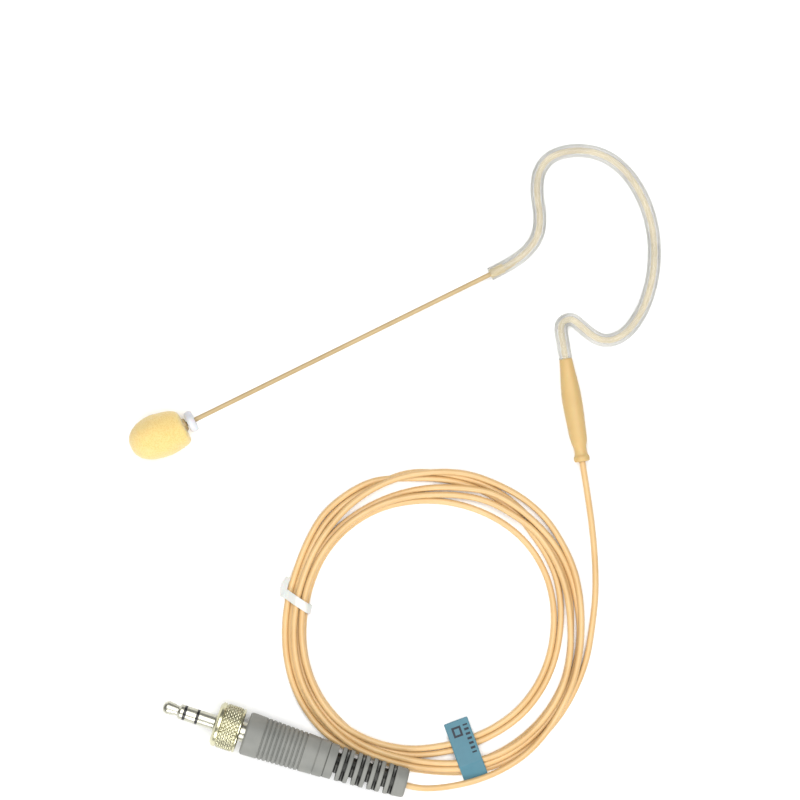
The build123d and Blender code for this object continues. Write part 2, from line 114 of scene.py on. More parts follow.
class Finish:
    """A Principled material and the few node groups that the finishes here are made of."""

    def __init__(self, name, **sockets):
        self.material = bpy.data.materials.new(name)
        self.material.use_nodes = True
        self.nodes = self.material.node_tree.nodes
        self.links = self.material.node_tree.links
        self.shader = self.nodes["Principled BSDF"]
        for socket, value in sockets.items():
            self.shader.inputs[socket.replace("_", " ")].default_value = value
        self.coordinates = self.nodes.new("ShaderNodeTexCoord").outputs["Object"]
        self.last_bump = None

    def stretched(self, factors):
        """Object coordinates, scaled differently along each axis."""
        mapping = self.nodes.new("ShaderNodeMapping")
        mapping.inputs["Scale"].default_value = factors
        self.links.new(self.coordinates, mapping.inputs["Vector"])
        return mapping.outputs["Vector"]

    def noise(self, size, detail=3.0, roughness=0.55, place=None):
        """Noise whose blobs are about size metres across."""
        texture = self.nodes.new("ShaderNodeTexNoise")
        texture.inputs["Scale"].default_value = 1 / size
        texture.inputs["Detail"].default_value = detail
        texture.inputs["Roughness"].default_value = roughness
        self.links.new(place or self.coordinates, texture.inputs["Vector"])
        return texture.outputs["Fac"]

    def cells(self, size):
        """Distance from the middle of cells about size metres across."""
        texture = self.nodes.new("ShaderNodeTexVoronoi")
        texture.inputs["Scale"].default_value = 1 / size
        self.links.new(self.coordinates, texture.inputs["Vector"])
        return texture.outputs["Distance"]

    def maths(self, operation, first, second=0.0, third=0.0):
        node = self.nodes.new("ShaderNodeMath")
        node.operation = operation
        for socket, value in zip(node.inputs, (first, second, third)):
            if isinstance(value, (int, float)):
                socket.default_value = value
            else:
                self.links.new(value, socket)
        return node.outputs["Value"]

    def inside(self, source, low, high):
        """1 where a value lies between low and high."""
        return self.maths("COMPARE", source, (low + high) / 2, (high - low) / 2)

    def ramp(self, source, stops):
        """Colours laid along a value: stops are (place, (r, g, b))."""
        node = self.nodes.new("ShaderNodeValToRGB")
        while len(node.color_ramp.elements) < len(stops):
            node.color_ramp.elements.new(0.5)
        for element, (place, colour) in zip(node.color_ramp.elements, stops):
            element.position = place
            element.color = (*colour, 1.0)
        self.links.new(source, node.inputs["Fac"])
        return node.outputs["Color"]

    def spread(self, source, low, high):
        """The middle of a noise value, drawn out from low to high."""
        node = self.nodes.new("ShaderNodeMapRange")
        node.inputs["From Min"].default_value = 0.3
        node.inputs["From Max"].default_value = 0.7
        node.inputs["To Min"].default_value = low
        node.inputs["To Max"].default_value = high
        self.links.new(source, node.inputs["Value"])
        return node.outputs["Result"]

    def colour(self, source, stops):
        self.links.new(self.ramp(source, stops), self.shader.inputs["Base Color"])

    def paint_crease_shade(self, dark, reach):
        """Painted shade: blends the colour towards a darker one where walls closer than reach shut out light."""
        shade = self.nodes.new("ShaderNodeAmbientOcclusion")
        shade.samples = 8
        shade.inputs["Distance"].default_value = reach
        blend = self.nodes.new("ShaderNodeMix")
        blend.data_type = "RGBA"
        plain = self.shader.inputs["Base Color"].links[0].from_socket
        open_part = self.ramp(shade.outputs["AO"], [(0.25, (0.0, 0.0, 0.0)), (0.8, (1.0, 1.0, 1.0))])
        colours = [socket for socket in blend.inputs if socket.type == "RGBA"]
        self.links.new(open_part, blend.inputs["Factor"])
        colours[0].default_value = (*dark, 1.0)
        self.links.new(plain, colours[1])
        result = [socket for socket in blend.outputs if socket.type == "RGBA"][0]
        self.links.new(result, self.shader.inputs["Base Color"])

    def roughness(self, source, low, high):
        self.links.new(self.spread(source, low, high), self.shader.inputs["Roughness"])

    def bump(self, source, height, strength=1.0):
        """Relief about height metres deep, on top of any before it."""
        node = self.nodes.new("ShaderNodeBump")
        node.inputs["Strength"].default_value = strength
        node.inputs["Distance"].default_value = height
        self.links.new(source, node.inputs["Height"])
        if self.last_bump:
            self.links.new(self.last_bump, node.inputs["Normal"])
        self.last_bump = node.outputs["Normal"]
        self.links.new(self.last_bump, self.shader.inputs["Normal"])


def plain_paint(name, colour, roughness):
    """Nearly even paint with a faint mottle."""
    finish = Finish(name, Roughness=roughness)
    darker = tuple(0.97 * c for c in colour)
    finish.colour(finish.noise(0.05), [(0.35, darker), (0.65, colour)])
    return finish.material


def moulded(name, dark, light, rough, grain, depth, crease_shade=None, **sockets):
    """Moulded plastic or rubber: a mottle between two colours and a fine matt grain, and, if a shade colour is
    given, painted shade in its creases.
    """
    finish = Finish(name, **sockets)
    finish.colour(finish.noise(6 * MM), [(0.35, dark), (0.65, light)])
    # Painted shade: the colour darkens where close walls shut out light.
    if crease_shade:
        finish.paint_crease_shade(crease_shade, 1.2 * MM)
    finish.roughness(finish.noise(1.5 * MM), rough, rough + 0.12)
    finish.bump(finish.noise(grain, 2.0), depth, 0.6)
    return finish.material


def turned_metal(name, dark, light, rough, crease_shade=None):
    """Plated metal with the faint rings that turning on a lathe leaves, and, if a shade colour is given, painted
    shade in its hollows.
    """
    finish = Finish(name, Metallic=1.0)
    finish.colour(finish.noise(3 * MM), [(0.35, dark), (0.65, light)])
    # Painted shade: the colour darkens where close walls shut out light.
    if crease_shade:
        finish.paint_crease_shade(crease_shade, 0.5 * MM)
    rings = finish.noise(0.25 * MM, 2.0, 0.5, finish.stretched((0.02, 0.02, 1.0)))
    finish.roughness(rings, rough, rough + 0.1)
    finish.bump(rings, 0.002 * MM, 0.35)
    return finish.material


def cable_jacket():
    finish = Finish("cable_jacket", Subsurface_Weight=0.12, Coat_Weight=0.12, Coat_Roughness=0.3)
    finish.shader.inputs["Subsurface Radius"].default_value = (1.0, 0.6, 0.3)
    finish.shader.inputs["Subsurface Scale"].default_value = 0.6 * MM
    finish.colour(finish.noise(9 * MM), [(0.35, srgb(208, 171, 117)), (0.65, srgb(216, 181, 128))])
    finish.roughness(finish.noise(2 * MM), 0.34, 0.46)
    finish.bump(finish.noise(0.5 * MM), 0.01 * MM, 0.5)
    return finish.material


def foam_cells():
    """Fine open-cell foam: pores of two sizes over a soft mottle, lit through at its edges."""
    finish = Finish(
        "foam_cells", Roughness=1.0, Subsurface_Weight=0.6, Sheen_Weight=0.3, Sheen_Roughness=0.6
    )
    finish.shader.inputs["Subsurface Radius"].default_value = (1.0, 0.75, 0.45)
    finish.shader.inputs["Subsurface Scale"].default_value = 2.0 * MM
    finish.shader.inputs["Specular IOR Level"].default_value = 0.15
    pores = finish.cells(0.34 * MM)
    finish.colour(pores, [(0.15, srgb(216, 184, 112)), (0.6, srgb(226, 200, 134))])
    finish.bump(pores, 0.08 * MM, 0.35)
    finish.bump(finish.noise(0.2 * MM, 3.0), 0.05 * MM, 0.4)
    return finish.material


def clear_silicone():
    finish = Finish("clear_silicone", Transmission_Weight=0.86, IOR=1.16, Coat_Weight=0.15)
    finish.colour(finish.noise(5 * MM), [(0.35, srgb(241, 241, 239)), (0.65, srgb(250, 250, 248))])
    finish.roughness(finish.noise(3 * MM), 0.1, 0.2)
    finish.bump(finish.noise(1.2 * MM), 0.01 * MM, 0.3)
    return finish.material


def label_film():
    """Blue film with a print of plain bars: a block at one end and short lines beside it."""
    finish = Finish("label_film", Coat_Weight=0.08, Coat_Roughness=0.3)
    finish.roughness(finish.noise(3 * MM), 0.4, 0.52)
    finish.shader.inputs["Specular IOR Level"].default_value = 0.3
    split = finish.nodes.new("ShaderNodeSeparateXYZ")
    finish.links.new(finish.coordinates, split.inputs["Vector"])
    along, across = split.outputs["X"], split.outputs["Y"]
    block = finish.maths(
        "MULTIPLY", finish.inside(along, -5.6 * MM, -3.2 * MM), finish.inside(across, -1.6 * MM, 0.6 * MM)
    )
    hollow = finish.maths(
        "MULTIPLY", finish.inside(along, -5.1 * MM, -3.7 * MM), finish.inside(across, -1.1 * MM, 0.1 * MM)
    )
    stripes = finish.maths("PINGPONG", along, 0.55 * MM)
    lines = finish.maths(
        "MULTIPLY", finish.maths("LESS_THAN", stripes, 0.27 * MM), finish.inside(across, 1.2 * MM, 2.3 * MM)
    )
    lines = finish.maths("MULTIPLY", lines, finish.inside(along, -5.6 * MM, 1.2 * MM))
    print_mask = finish.maths("ADD", finish.maths("SUBTRACT", block, hollow), lines)
    mottle = finish.maths("MULTIPLY", finish.noise(4 * MM), 0.3)
    finish.colour(
        finish.maths("ADD", finish.maths("MULTIPLY", print_mask, 0.65), mottle),
        [
            (0.05, srgb(66, 113, 128)), (0.25, srgb(79, 127, 142)),
            (0.6, srgb(16, 30, 44)), (0.9, srgb(12, 26, 40)),
        ],
    )
    finish.bump(finish.noise(1.5 * MM), 0.01 * MM, 0.3)
    return finish.material


def slot_materials():
    """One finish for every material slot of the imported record."""
    grey_dark, grey_light = srgb(120, 121, 116), srgb(133, 133, 127)
    return {
        "foam": foam_cells(),
        "white_silicone": moulded(
            "white_silicone", srgb(198, 200, 205), srgb(212, 214, 218), 0.4, 0.3 * MM, 0.01 * MM,
            Subsurface_Weight=0.2, Subsurface_Scale=0.6 * MM,
        ),
        "clear_silicone": clear_silicone(),
        "boom_beige": moulded(
            "boom_beige", srgb(176, 152, 108), srgb(186, 162, 118), 0.4, 0.4 * MM, 0.01 * MM, Coat_Weight=0.1
        ),
        "core_beige": moulded(
            "core_beige", srgb(207, 187, 138), srgb(216, 198, 150), 0.4, 0.4 * MM, 0.01 * MM
        ),
        "sleeve_beige": moulded(
            "sleeve_beige", srgb(196, 165, 108), srgb(203, 172, 115), 0.5, 0.3 * MM, 0.015 * MM,
            Subsurface_Weight=0.2, Subsurface_Scale=0.6 * MM,
        ),
        "cable_beige": cable_jacket(),
        "capsule_metal": turned_metal("capsule_metal", srgb(176, 168, 150), srgb(200, 192, 172), 0.35),
        "insulation": moulded(
            "insulation", srgb(214, 210, 196), srgb(226, 222, 210), 0.5, 0.4 * MM, 0.01 * MM
        ),
        "board": moulded("board", srgb(40, 96, 62), srgb(52, 112, 74), 0.4, 0.5 * MM, 0.01 * MM),
        "copper": turned_metal("copper", srgb(196, 128, 84), srgb(220, 150, 104), 0.3),
        "tie_white": moulded(
            "tie_white", srgb(206, 207, 202), srgb(217, 218, 213), 0.3, 0.5 * MM, 0.008 * MM,
            Subsurface_Weight=0.15, Subsurface_Scale=0.4 * MM,
        ),
        "label_blue": label_film(),
        # The last colour is painted shade for the grip's grooves.
        "plug_grey": moulded(
            "plug_grey", grey_dark, grey_light, 0.5, 0.16 * MM, 0.02 * MM, srgb(46, 46, 44)
        ),
        # The last colour is painted shade for the boot's slots and core.
        "boot_grey": moulded(
            "boot_grey", grey_dark, grey_light, 0.55, 0.2 * MM, 0.02 * MM, srgb(34, 34, 33)
        ),
        # The last colour is painted shade for the knurl's hollows.
        "nickel": turned_metal("nickel", srgb(190, 186, 154), srgb(206, 203, 174), 0.2, srgb(84, 82, 66)),
        "jack_metal": turned_metal("jack_metal", srgb(186, 185, 169), srgb(206, 204, 190), 0.28),
        "spring_steel": turned_metal("spring_steel", srgb(150, 150, 150), srgb(176, 176, 176), 0.3),
        "black_insulator": moulded(
            "black_insulator", srgb(22, 22, 24), srgb(34, 34, 36), 0.25, 0.4 * MM, 0.005 * MM
        ),
    }


# ---- cable -----------------------------------------------------------------------------------
CABLE_R = 0.71
# Route of the free cable as it is in the CAD model: from the sleeve to the coil, and from the
# coil into the plug's boot, where it ends.
LEAD_ROUTE = [
    (43.04, -36.49, 2.2),
    (44.15, -43.3, 2.0),
    (45.4, -51.5, 0.9),
    (46.15, -60.0, 0.73),
    (46.2, -67.6, 0.73),
]
TAIL_ROUTE = [
    (34.9, -98.6, 2.35),
    (30.4, -103.6, 2.3),
    (24.6, -107.4, 2.3),
    (18.2, -109.9, 2.55),
    (12.0, -111.1, 3.3),
    (6.6, -111.35, 4.5),
    (2.48, -110.49, 5.2),
    (-9.3, -106.8, 5.2),
    (-19.7, -103.2, 5.2),
]
COIL_CENTRE = (9.4, -74.75)
# Radius of each turn every 22.5 degrees, clockwise from +X as seen from above, in the order it
# is laid from the lead to the tail. The last row is the start of the turn where the tail leaves.
TURN_RADII = [
    [35.8, 35.0, 34.9, 34.4, 32.8, 32.5, 33.9, 34.1, 33.4, 33.4, 35.2, 35.9, 35.5, 34.2, 33.0, 32.2],
    [31.0, 31.9, 32.3, 32.4, 31.6, 31.8, 34.9, 35.1, 33.9, 33.9, 36.8, 36.3, 34.6, 33.2, 31.1, 30.0],
    [28.6, 28.1, 28.0, 27.8, 28.9, 30.7, 31.2, 31.2, 31.1, 31.2, 31.3, 30.4, 29.2, 28.7, 28.6, 28.0],
    [27.1, 26.9, 26.8, 26.6, 27.3, 29.5, 31.0, 31.0, 30.8, 31.0, 31.2, 30.9, 30.6, 31.5, 31.9, 31.4],
    [30.9, 32.0, 32.4, 32.3, 31.1, 31.2, 31.9, 32.1, 32.1, 31.8, 31.6, 31.8, 32.3, 33.9, 33.0, 33.0],
    [33.2, 33.4, 33.4, 33.2, 32.4, 32.2, 33.1, 33.3, 32.5, 32.6, 33.7, 35.3, 35.8, 35.9, 35.7, 34.1],
    [33.3, 33.8, 34.5, 35.5],
]
STATIONS_PER_TURN = 32
STATIONS_PER_RADIUS = STATIONS_PER_TURN // 16
SPLINE_SHRINK = 0.9952


def coil_radii():
    """Radius at every station of the coil, smooth between the ones given."""
    given = [radius for turn in TURN_RADII for radius in turn]
    radii = []
    for i in range(len(given) - 2):
        before, here, after, beyond = given[max(i - 1, 0)], given[i], given[i + 1], given[i + 2]
        for k in range(STATIONS_PER_RADIUS):
            t = k / STATIONS_PER_RADIUS
            even = 2 * here + (after - before) * t
            curved = (2 * before - 5 * here + 4 * after - beyond) * t ** 2
            steep = (3 * here - before - 3 * after + beyond) * t ** 3
            radii.append(0.5 * (even + curved + steep))
    return radii


def settled_coil(wanted):
    """(radius, height) of every station once the turns have sunk onto each other. Each turn
    starts above the ones laid before it; a station meets those of the other turns at its angle."""
    layer = 1.1
    sink = 0.04
    stiffness = 0.5
    pull = 0.25
    spacing = 2 * CABLE_R + 0.01
    rounds = 260
    count = len(wanted)
    spots = [[radius, CABLE_R + layer * i / STATIONS_PER_TURN] for i, radius in enumerate(wanted)]
    spots[0][1] = CABLE_R
    for _ in range(rounds):
        for i in range(1, count):
            ahead = spots[min(i + 1, count - 1)][1]
            spots[i][1] += stiffness * ((spots[i - 1][1] + ahead) / 2 - spots[i][1]) - sink
            spots[i][0] += pull * (wanted[i] - spots[i][0])
        for _ in range(3):
            for i in range(count):
                for j in range(i + STATIONS_PER_TURN, count, STATIONS_PER_TURN):
                    across = spots[j][0] - spots[i][0]
                    up = spots[j][1] - spots[i][1]
                    apart = math.hypot(across, up)
                    if 0 < apart < spacing:
                        push = 0.5 * (spacing - apart) / apart
                        spots[i][0] -= across * push
                        spots[i][1] -= up * push
                        spots[j][0] += across * push
                        spots[j][1] += up * push
            for spot in spots:
                spot[1] = max(spot[1], CABLE_R + 0.01)
    return spots


def coil_place(angle_deg, radius, height):
    """Point over the coil, with the angle clockwise from +X."""
    angle = -math.radians(angle_deg)
    return (
        COIL_CENTRE[0] + radius * math.cos(angle),
        COIL_CENTRE[1] + radius * math.sin(angle),
        height,
    )


def coil_points(spots):
    step = 360 / STATIONS_PER_TURN
    return [coil_place(step * i, radius / SPLINE_SHRINK, z) for i, (radius, z) in enumerate(spots)]


def spline_curve(name, points, radius=0.0):
    """Smooth curve with these control points, in millimetres, and a round section. The section's
    radius is kept in the points, because the curve's own box is widened by theirs."""
    curve = bpy.data.curves.new(name, "CURVE")
    curve.dimensions = "3D"
    curve.resolution_u = 10
    curve.bevel_depth = 1.0 if radius else 0.0
    curve.bevel_resolution = 6
    curve.use_fill_caps = True
    spline = curve.splines.new("NURBS")
    spline.points.add(len(points) - 1)
    for control, place in zip(spline.points, points):
        control.co = (*(Vector(place) * MM), 1.0)
        control.radius = radius * MM
    spline.order_u = 3
    spline.use_endpoint_u = True
    spline.use_smooth = True
    return add_object(name, curve)


def add_cable(spots):
    route = LEAD_ROUTE + coil_points(spots) + TAIL_ROUTE
    cable = spline_curve("free_cable", route, CABLE_R)
    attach(cable, "headset")
    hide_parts("cable_lead", "cable_coil", "cable_tail", "cable_in_boot")
    dress(cable, "cable_beige")
    return cable


def centre_line(name, points):
    """The points, in metres, that a smooth curve with these control points runs through."""
    guide = spline_curve(name, points)
    mesh = bpy.data.meshes.new_from_object(guide)
    line = [vertex.co.copy() for vertex in mesh.vertices]
    bpy.data.meshes.remove(mesh)
    bpy.data.objects.remove(guide)
    return line


# ---- mesh helpers ----------------------------------------------------------------------------
def dress(piece, slot):
    """Gives a piece the finish of a material slot."""
    piece.data.materials.clear()
    piece.data.materials.append(MATERIALS[slot])


def shade_smooth(piece):
    piece.data.polygons.foreach_set("use_smooth", [True] * len(piece.data.polygons))
    modifier = piece.modifiers.new("even_shading", "WEIGHTED_NORMAL")
    modifier.weight = 60


def mesh_object(name, vertices, faces):
    mesh = bpy.data.meshes.new(name)
    mesh.from_pydata(vertices, [], faces)
    mesh.validate()
    mesh.update()
    return add_object(name, mesh)


def axis_matrix(origin, direction):
    """Local +Z along direction and local +X upwards, from an origin in millimetres."""
    along = Vector(direction).normalized()
    up = (Vector((0, 0, 1)) - along * along.z).normalized()
    matrix = Matrix((up, along.cross(up), along)).transposed().to_4x4()
    matrix.translation = Vector(origin) * MM
    return matrix


def softened(outline, radius, steps=3, closed=False):
    """The outline with each of its corners turned into a small arc."""
    corners = [Vector(corner) for corner in outline]
    count = len(corners)
    result = []
    for i, corner in enumerate(corners):
        if not closed and i in (0, count - 1):
            result.append(tuple(corner))
            continue
        before = corners[i - 1] - corner
        after = corners[(i + 1) % count] - corner
        reach = min(radius, 0.45 * before.length, 0.45 * after.length)
        start = corner + before.normalized() * reach
        end = corner + after.normalized() * reach
        for k in range(steps + 1):
            t = k / steps
            result.append(tuple(start * (1 - t) ** 2 + corner * 2 * t * (1 - t) + end * t ** 2))
    return result


def turned(name, outline, matrix, segments=96, closed=False, relief=None):
    """Mesh turned about local Z from (radius, height) corners in millimetres. A relief is a
    function of (angle, radius, height) that gives the true radius there."""
    vertices = []
    faces = []
    rows = []
    for radius, height in outline:
        if radius < 1e-6:
            rows.append([len(vertices)])
            vertices.append((0.0, 0.0, height * MM))
            continue
        rows.append(list(range(len(vertices), len(vertices) + segments)))
        for k in range(segments):
            angle = 2 * math.pi * k / segments
            reach = relief(angle, radius, height) if relief else radius
            vertices.append((reach * MM * math.cos(angle), reach * MM * math.sin(angle), height * MM))
    pairs = list(zip(rows, rows[1:]))
    if closed:
        pairs.append((rows[-1], rows[0]))
    for low, high in pairs:
        for k in range(segments):
            a, b = low[k % len(low)], low[(k + 1) % len(low)]
            c, d = high[(k + 1) % len(high)], high[k % len(high)]
            corners = list(dict.fromkeys((a, b, c, d)))
            if len(corners) > 2:
                faces.append(corners)
    piece = mesh_object(name, vertices, faces)
    clean_normals(piece)
    piece.matrix_world = matrix
    shade_smooth(piece)
    return piece


def clean_normals(piece):
    work = bmesh.new()
    work.from_mesh(piece.data)
    bmesh.ops.recalc_face_normals(work, faces=work.faces)
    work.to_mesh(piece.data)
    work.free()


def swept_tube(name, line, outer_r, bore_r=0.0, segments=40):
    """Tube round a line of points in metres, with flat ends; hollow if it has a bore."""
    rings = []
    vertices = []
    faces = []
    side = Vector((0, 0, 1))
    for i, spot in enumerate(line):
        along = (line[min(i + 1, len(line) - 1)] - line[max(i - 1, 0)]).normalized()
        side = (side - along * side.dot(along)).normalized()
        other = along.cross(side)
        for radius in ((outer_r, bore_r) if bore_r else (outer_r,)):
            rings.append(len(vertices))
            for k in range(segments):
                angle = 2 * math.pi * k / segments
                vertices.append(spot + (side * math.cos(angle) + other * math.sin(angle)) * radius * MM)
    layers = 2 if bore_r else 1
    for i in range(len(line) - 1):
        for layer in range(layers):
            low, high = rings[i * layers + layer], rings[(i + 1) * layers + layer]
            for k in range(segments):
                n = (k + 1) % segments
                faces.append((low + k, low + n, high + n, high + k))
    for first in (rings[:layers], rings[-layers:]):
        if bore_r:
            for k in range(segments):
                n = (k + 1) % segments
                faces.append((first[0] + k, first[0] + n, first[1] + n, first[1] + k))
        else:
            faces.append([first[0] + k for k in range(segments)])
    piece = mesh_object(name, vertices, faces)
    clean_normals(piece)
    piece.data.polygons.foreach_set("use_smooth", [True] * len(piece.data.polygons))
    return piece


def finished(piece):
    """Makes a piece's modifiers part of its mesh."""
    graph = bpy.context.evaluated_depsgraph_get()
    mesh = bpy.data.meshes.new_from_object(piece.evaluated_get(graph))
    piece.modifiers.clear()
    piece.data = mesh
    return piece


# ---- headset ---------------------------------------------------------------------------------
BOOM_FRONT = (-45.85, -26.87, 5.2)
BOOM_REAR = (21.9, 6.6, 1.95)
BOOM_R = 0.55
# Corners of the ear hook's centre line, from the boom to the moulded sleeve, as in the CAD model.
HOOK_ROUTE = [
    (21.9, 6.6, 1.95),
    (26.75, 9.0, 1.72),
    (30.4, 11.8, 1.55),
    (32.9, 15.2, 1.5),
    (33.5, 19.8, 1.5),
    (32.5, 25.6, 1.5),
    (33.0, 30.3, 1.5),
    (35.4, 33.5, 1.5),
    (39.2, 34.95, 1.5),
    (43.5, 35.15, 1.5),
    (47.7, 34.2, 1.5),
    (51.3, 32.0, 1.5),
    (54.5, 28.6, 1.5),
    (57.0, 24.3, 1.5),
    (58.8, 19.4, 1.5),
    (59.65, 14.2, 1.5),
    (59.65, 8.9, 1.5),
    (58.8, 3.6, 1.5),
    (57.1, -1.4, 1.5),
    (54.5, -5.6, 1.5),
    (51.6, -8.0, 1.5),
    (48.5, -8.8, 1.5),
    (45.5, -7.8, 1.5),
    (41.4, -4.0, 1.5),
    (40.0, -3.7, 1.5),
    (38.7, -4.28, 1.6),
    (38.0, -5.52, 1.8),
    (38.58, -9.1, 2.2),
    (39.2, -12.8, 2.2),
]


def add_windscreen():
    """Soft egg, sculpted from a turned solid: bored for the capsule, remeshed, then worn."""
    foam_rear = (-48.1, -28.35, 5.3)
    turn = math.radians(20.0)
    slant = 0.13
    slanted_length = 6 * MM
    outline = [
        (0, 0), (2.4, -0.05), (3.4, 0.05), (4.0, 0.5), (4.45, 1.5), (4.85, 3.2), (5.1, 5.0), (5.12, 6.6),
        (4.85, 8.5), (4.25, 10.4), (3.35, 11.8), (2.2, 12.7), (1.0, 13.1), (0, 13.15),
    ]
    matrix = axis_matrix(foam_rear, (-math.cos(turn), -math.sin(turn), 0))
    egg = turned("foam_windscreen", softened(outline, 0.6), matrix, 72)
    egg.modifiers.clear()
    mouth = [(0, -1.5), (3.0, -1.5), (2.3, 0.5), (1.65, 1.6), (1.6, 9.5), (0, 9.5)]
    bore = turned("foam_bore", mouth, axis_matrix(BOOM_FRONT, BOOM_AXIS), 48)
    bore.modifiers.clear()
    cut = egg.modifiers.new("bore", "BOOLEAN")
    cut.object = bore
    cut.solver = "EXACT"
    skin = egg.modifiers.new("skin", "REMESH")
    skin.mode = "VOXEL"
    skin.voxel_size = 0.2 * MM
    finished(egg)
    bpy.data.objects.remove(bore)
    for vertex in egg.data.vertices:
        vertex.co += vertex.normal * foam_relief(vertex.co)
        rearness = max(0.0, 1 - vertex.co.z / slanted_length)
        vertex.co.z += slant * vertex.co.y * rearness
    egg.data.polygons.foreach_set("use_smooth", [True] * len(egg.data.polygons))
    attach(egg, "windscreen")
    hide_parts("windscreen")
    dress(egg, "foam")


def foam_relief(spot):
    """Dents a few millimetres wide, and a pitted skin."""
    dents = noise.noise(spot / (3.6 * MM)) * 0.16
    pits = noise.noise(spot / (0.7 * MM)) * 0.04
    pores = min(0.0, noise.noise(spot / (0.35 * MM))) * 0.07
    return (dents + pits + pores) * MM


def add_sweat_ring():
    """Soft collar on the boom, a little fuller at its middle."""
    bore_r = BOOM_R + 0.03
    outline = [
        (bore_r, -0.05), (2.2, -0.08), (2.5, 0.5), (2.56, 0.85), (2.5, 1.25), (2.2, 1.8), (bore_r, 1.72),
    ]
    matrix = axis_matrix(BOOM_FRONT, BOOM_AXIS)
    ring = turned("silicone_ring", softened(outline, 0.45, 4, True), matrix, 72, True)
    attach(ring, "sweat_ring")
    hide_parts("sweat_ring")
    dress(ring, "white_silicone")


def add_ear_hook():
    """Clear tube with the beige core inside."""
    tube = swept_tube("clear_ear_tube", centre_line("tube_line", HOOK_ROUTE), 1.5, 0.74)
    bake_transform(tube)
    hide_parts("ear_tube")
    dress(tube, "clear_silicone")
    boom_end = Vector(BOOM_REAR) - Vector(BOOM_AXIS) * 3.4
    inner = [tuple(boom_end)] + HOOK_ROUTE[1:-1] + [tuple(Vector(SLEEVE_TOP) + Vector(SLEEVE_AXIS) * 5)]
    core = swept_tube("hook_core_jacket", centre_line("core_line", inner), 0.7)
    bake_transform(core)
    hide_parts("hook_core")
    dress(core, "core_beige")


def add_junction_sleeve():
    """Moulded spindle, fuller on one side, with a raised lip where the cable leaves."""
    outline = [
        (0.66, 0.02), (1.46, 0.0), (1.6, 2.0), (1.8, 4.0), (2.0, 6.0), (2.15, 8.0), (2.2, 10.0),
        (2.16, 12.2),
        (2.02, 16.0), (1.95, 18.0), (1.8, 19.4), (1.45, 20.6), (1.42, 21.8), (1.52, 22.4), (1.8, 22.8),
        (1.84, 23.4), (1.72, 23.9), (0.8, 24.0), (0.8, 23.0), (0.66, 22.0),
    ]

    def relief(angle, radius, height):
        """The flank towards the coil's middle stands out a little."""
        if radius < 1.3 or not 2 < height < 20:
            return radius
        return radius + 0.14 * math.sin(math.pi * (height - 2) / 18) * max(0.0, math.sin(angle)) ** 2

    matrix = axis_matrix(SLEEVE_TOP, SLEEVE_AXIS)
    sleeve = turned("moulded_sleeve", softened(outline, 0.25, 3, True), matrix, 72, True, relief)
    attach(sleeve, "headset")
    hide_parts("junction_sleeve")
    dress(sleeve, "sleeve_beige")


# ---- plug ------------------------------------------------------------------------------------
def add_jack():
    """The three contacts and the two insulators between them."""
    sheath = 0.6
    contacts = {
        "tip_contact": ("jack_metal", [
            (0, 0.0), (0.65, 0.03), (1.15, 0.3), (1.5, 0.85), (1.56, 1.2), (1.5, 1.7), (1.34, 2.6),
            (1.18, 3.4), (1.2, 3.65), (1.75, 4.15), (1.75, 4.9), (sheath, 4.9),
        ]),
        "front_insulator": ("black_insulator", [(sheath, 4.9), (1.74, 4.9), (1.74, 5.5), (sheath, 5.5)]),
        "ring_contact": ("jack_metal", [(sheath, 5.5), (1.75, 5.5), (1.75, 7.9), (sheath, 7.9)]),
        "rear_insulator": ("black_insulator", [(sheath, 7.9), (1.74, 7.9), (1.74, 8.5), (sheath, 8.5)]),
        "jack_sleeve": ("jack_metal", [
            (sheath, 8.5), (1.75, 8.5), (1.75, 12.4), (2.3, 12.55), (2.3, 14.2), (2.6, 14.3), (2.6, 14.8),
            (2.3, 14.9), (2.3, 21.5), (sheath, 21.5),
        ]),
    }
    pieces = []
    for node, (slot, outline) in contacts.items():
        piece = turned(node + "_turned", softened(outline, 0.07), PLUG_MATRIX, 96)
        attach(piece, "headset")
        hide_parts(node)
        dress(piece, slot)
        pieces.append(piece)
    return pieces


def add_lock_nut():
    """Nut with a smooth bright front, a band of diamond knurl and a thin rear rim."""
    diamonds = 32
    diamond_length = 0.98
    depth = 0.34
    knurl_start, knurl_end = 14.1, 17.9
    rows = 40

    def crest(value):
        """0 at every whole number and 1 halfway between."""
        return 1 - abs(2 * (value % 1) - 1)

    def relief(angle, radius, height):
        if radius < 4.9 or not knurl_start <= height <= knurl_end:
            return radius
        u = angle * diamonds / (2 * math.pi)
        v = (height - knurl_start) / diamond_length
        fade = min(1.0, 6 * min(height - knurl_start, knurl_end - height))
        return radius - depth + depth * min(0.8, min(crest(u + v), crest(u - v))) / 0.8 * fade

    front_collar = [(2.75, 14.0), (2.75, 12.6), (4.55, 12.6), (5.2, 13.15), (5.2, 13.85), (4.98, 14.0)]
    band = [(5.18, knurl_start + (knurl_end - knurl_start) * i / rows) for i in range(rows + 1)]
    rear_rim = [
        (4.98, 17.98), (5.18, 18.08), (5.18, 18.4), (4.8, 18.6), (2.45, 18.6), (2.45, 17.0), (2.75, 16.9),
    ]
    outline = softened(front_collar, 0.12) + band + softened(rear_rim, 0.08)
    nut = turned("knurled_nut", outline, PLUG_MATRIX, diamonds * 8, True, relief)
    nut.modifiers.clear()
    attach(nut, "lock_nut")
    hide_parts("lock_nut")
    dress(nut, "nickel")
    return nut


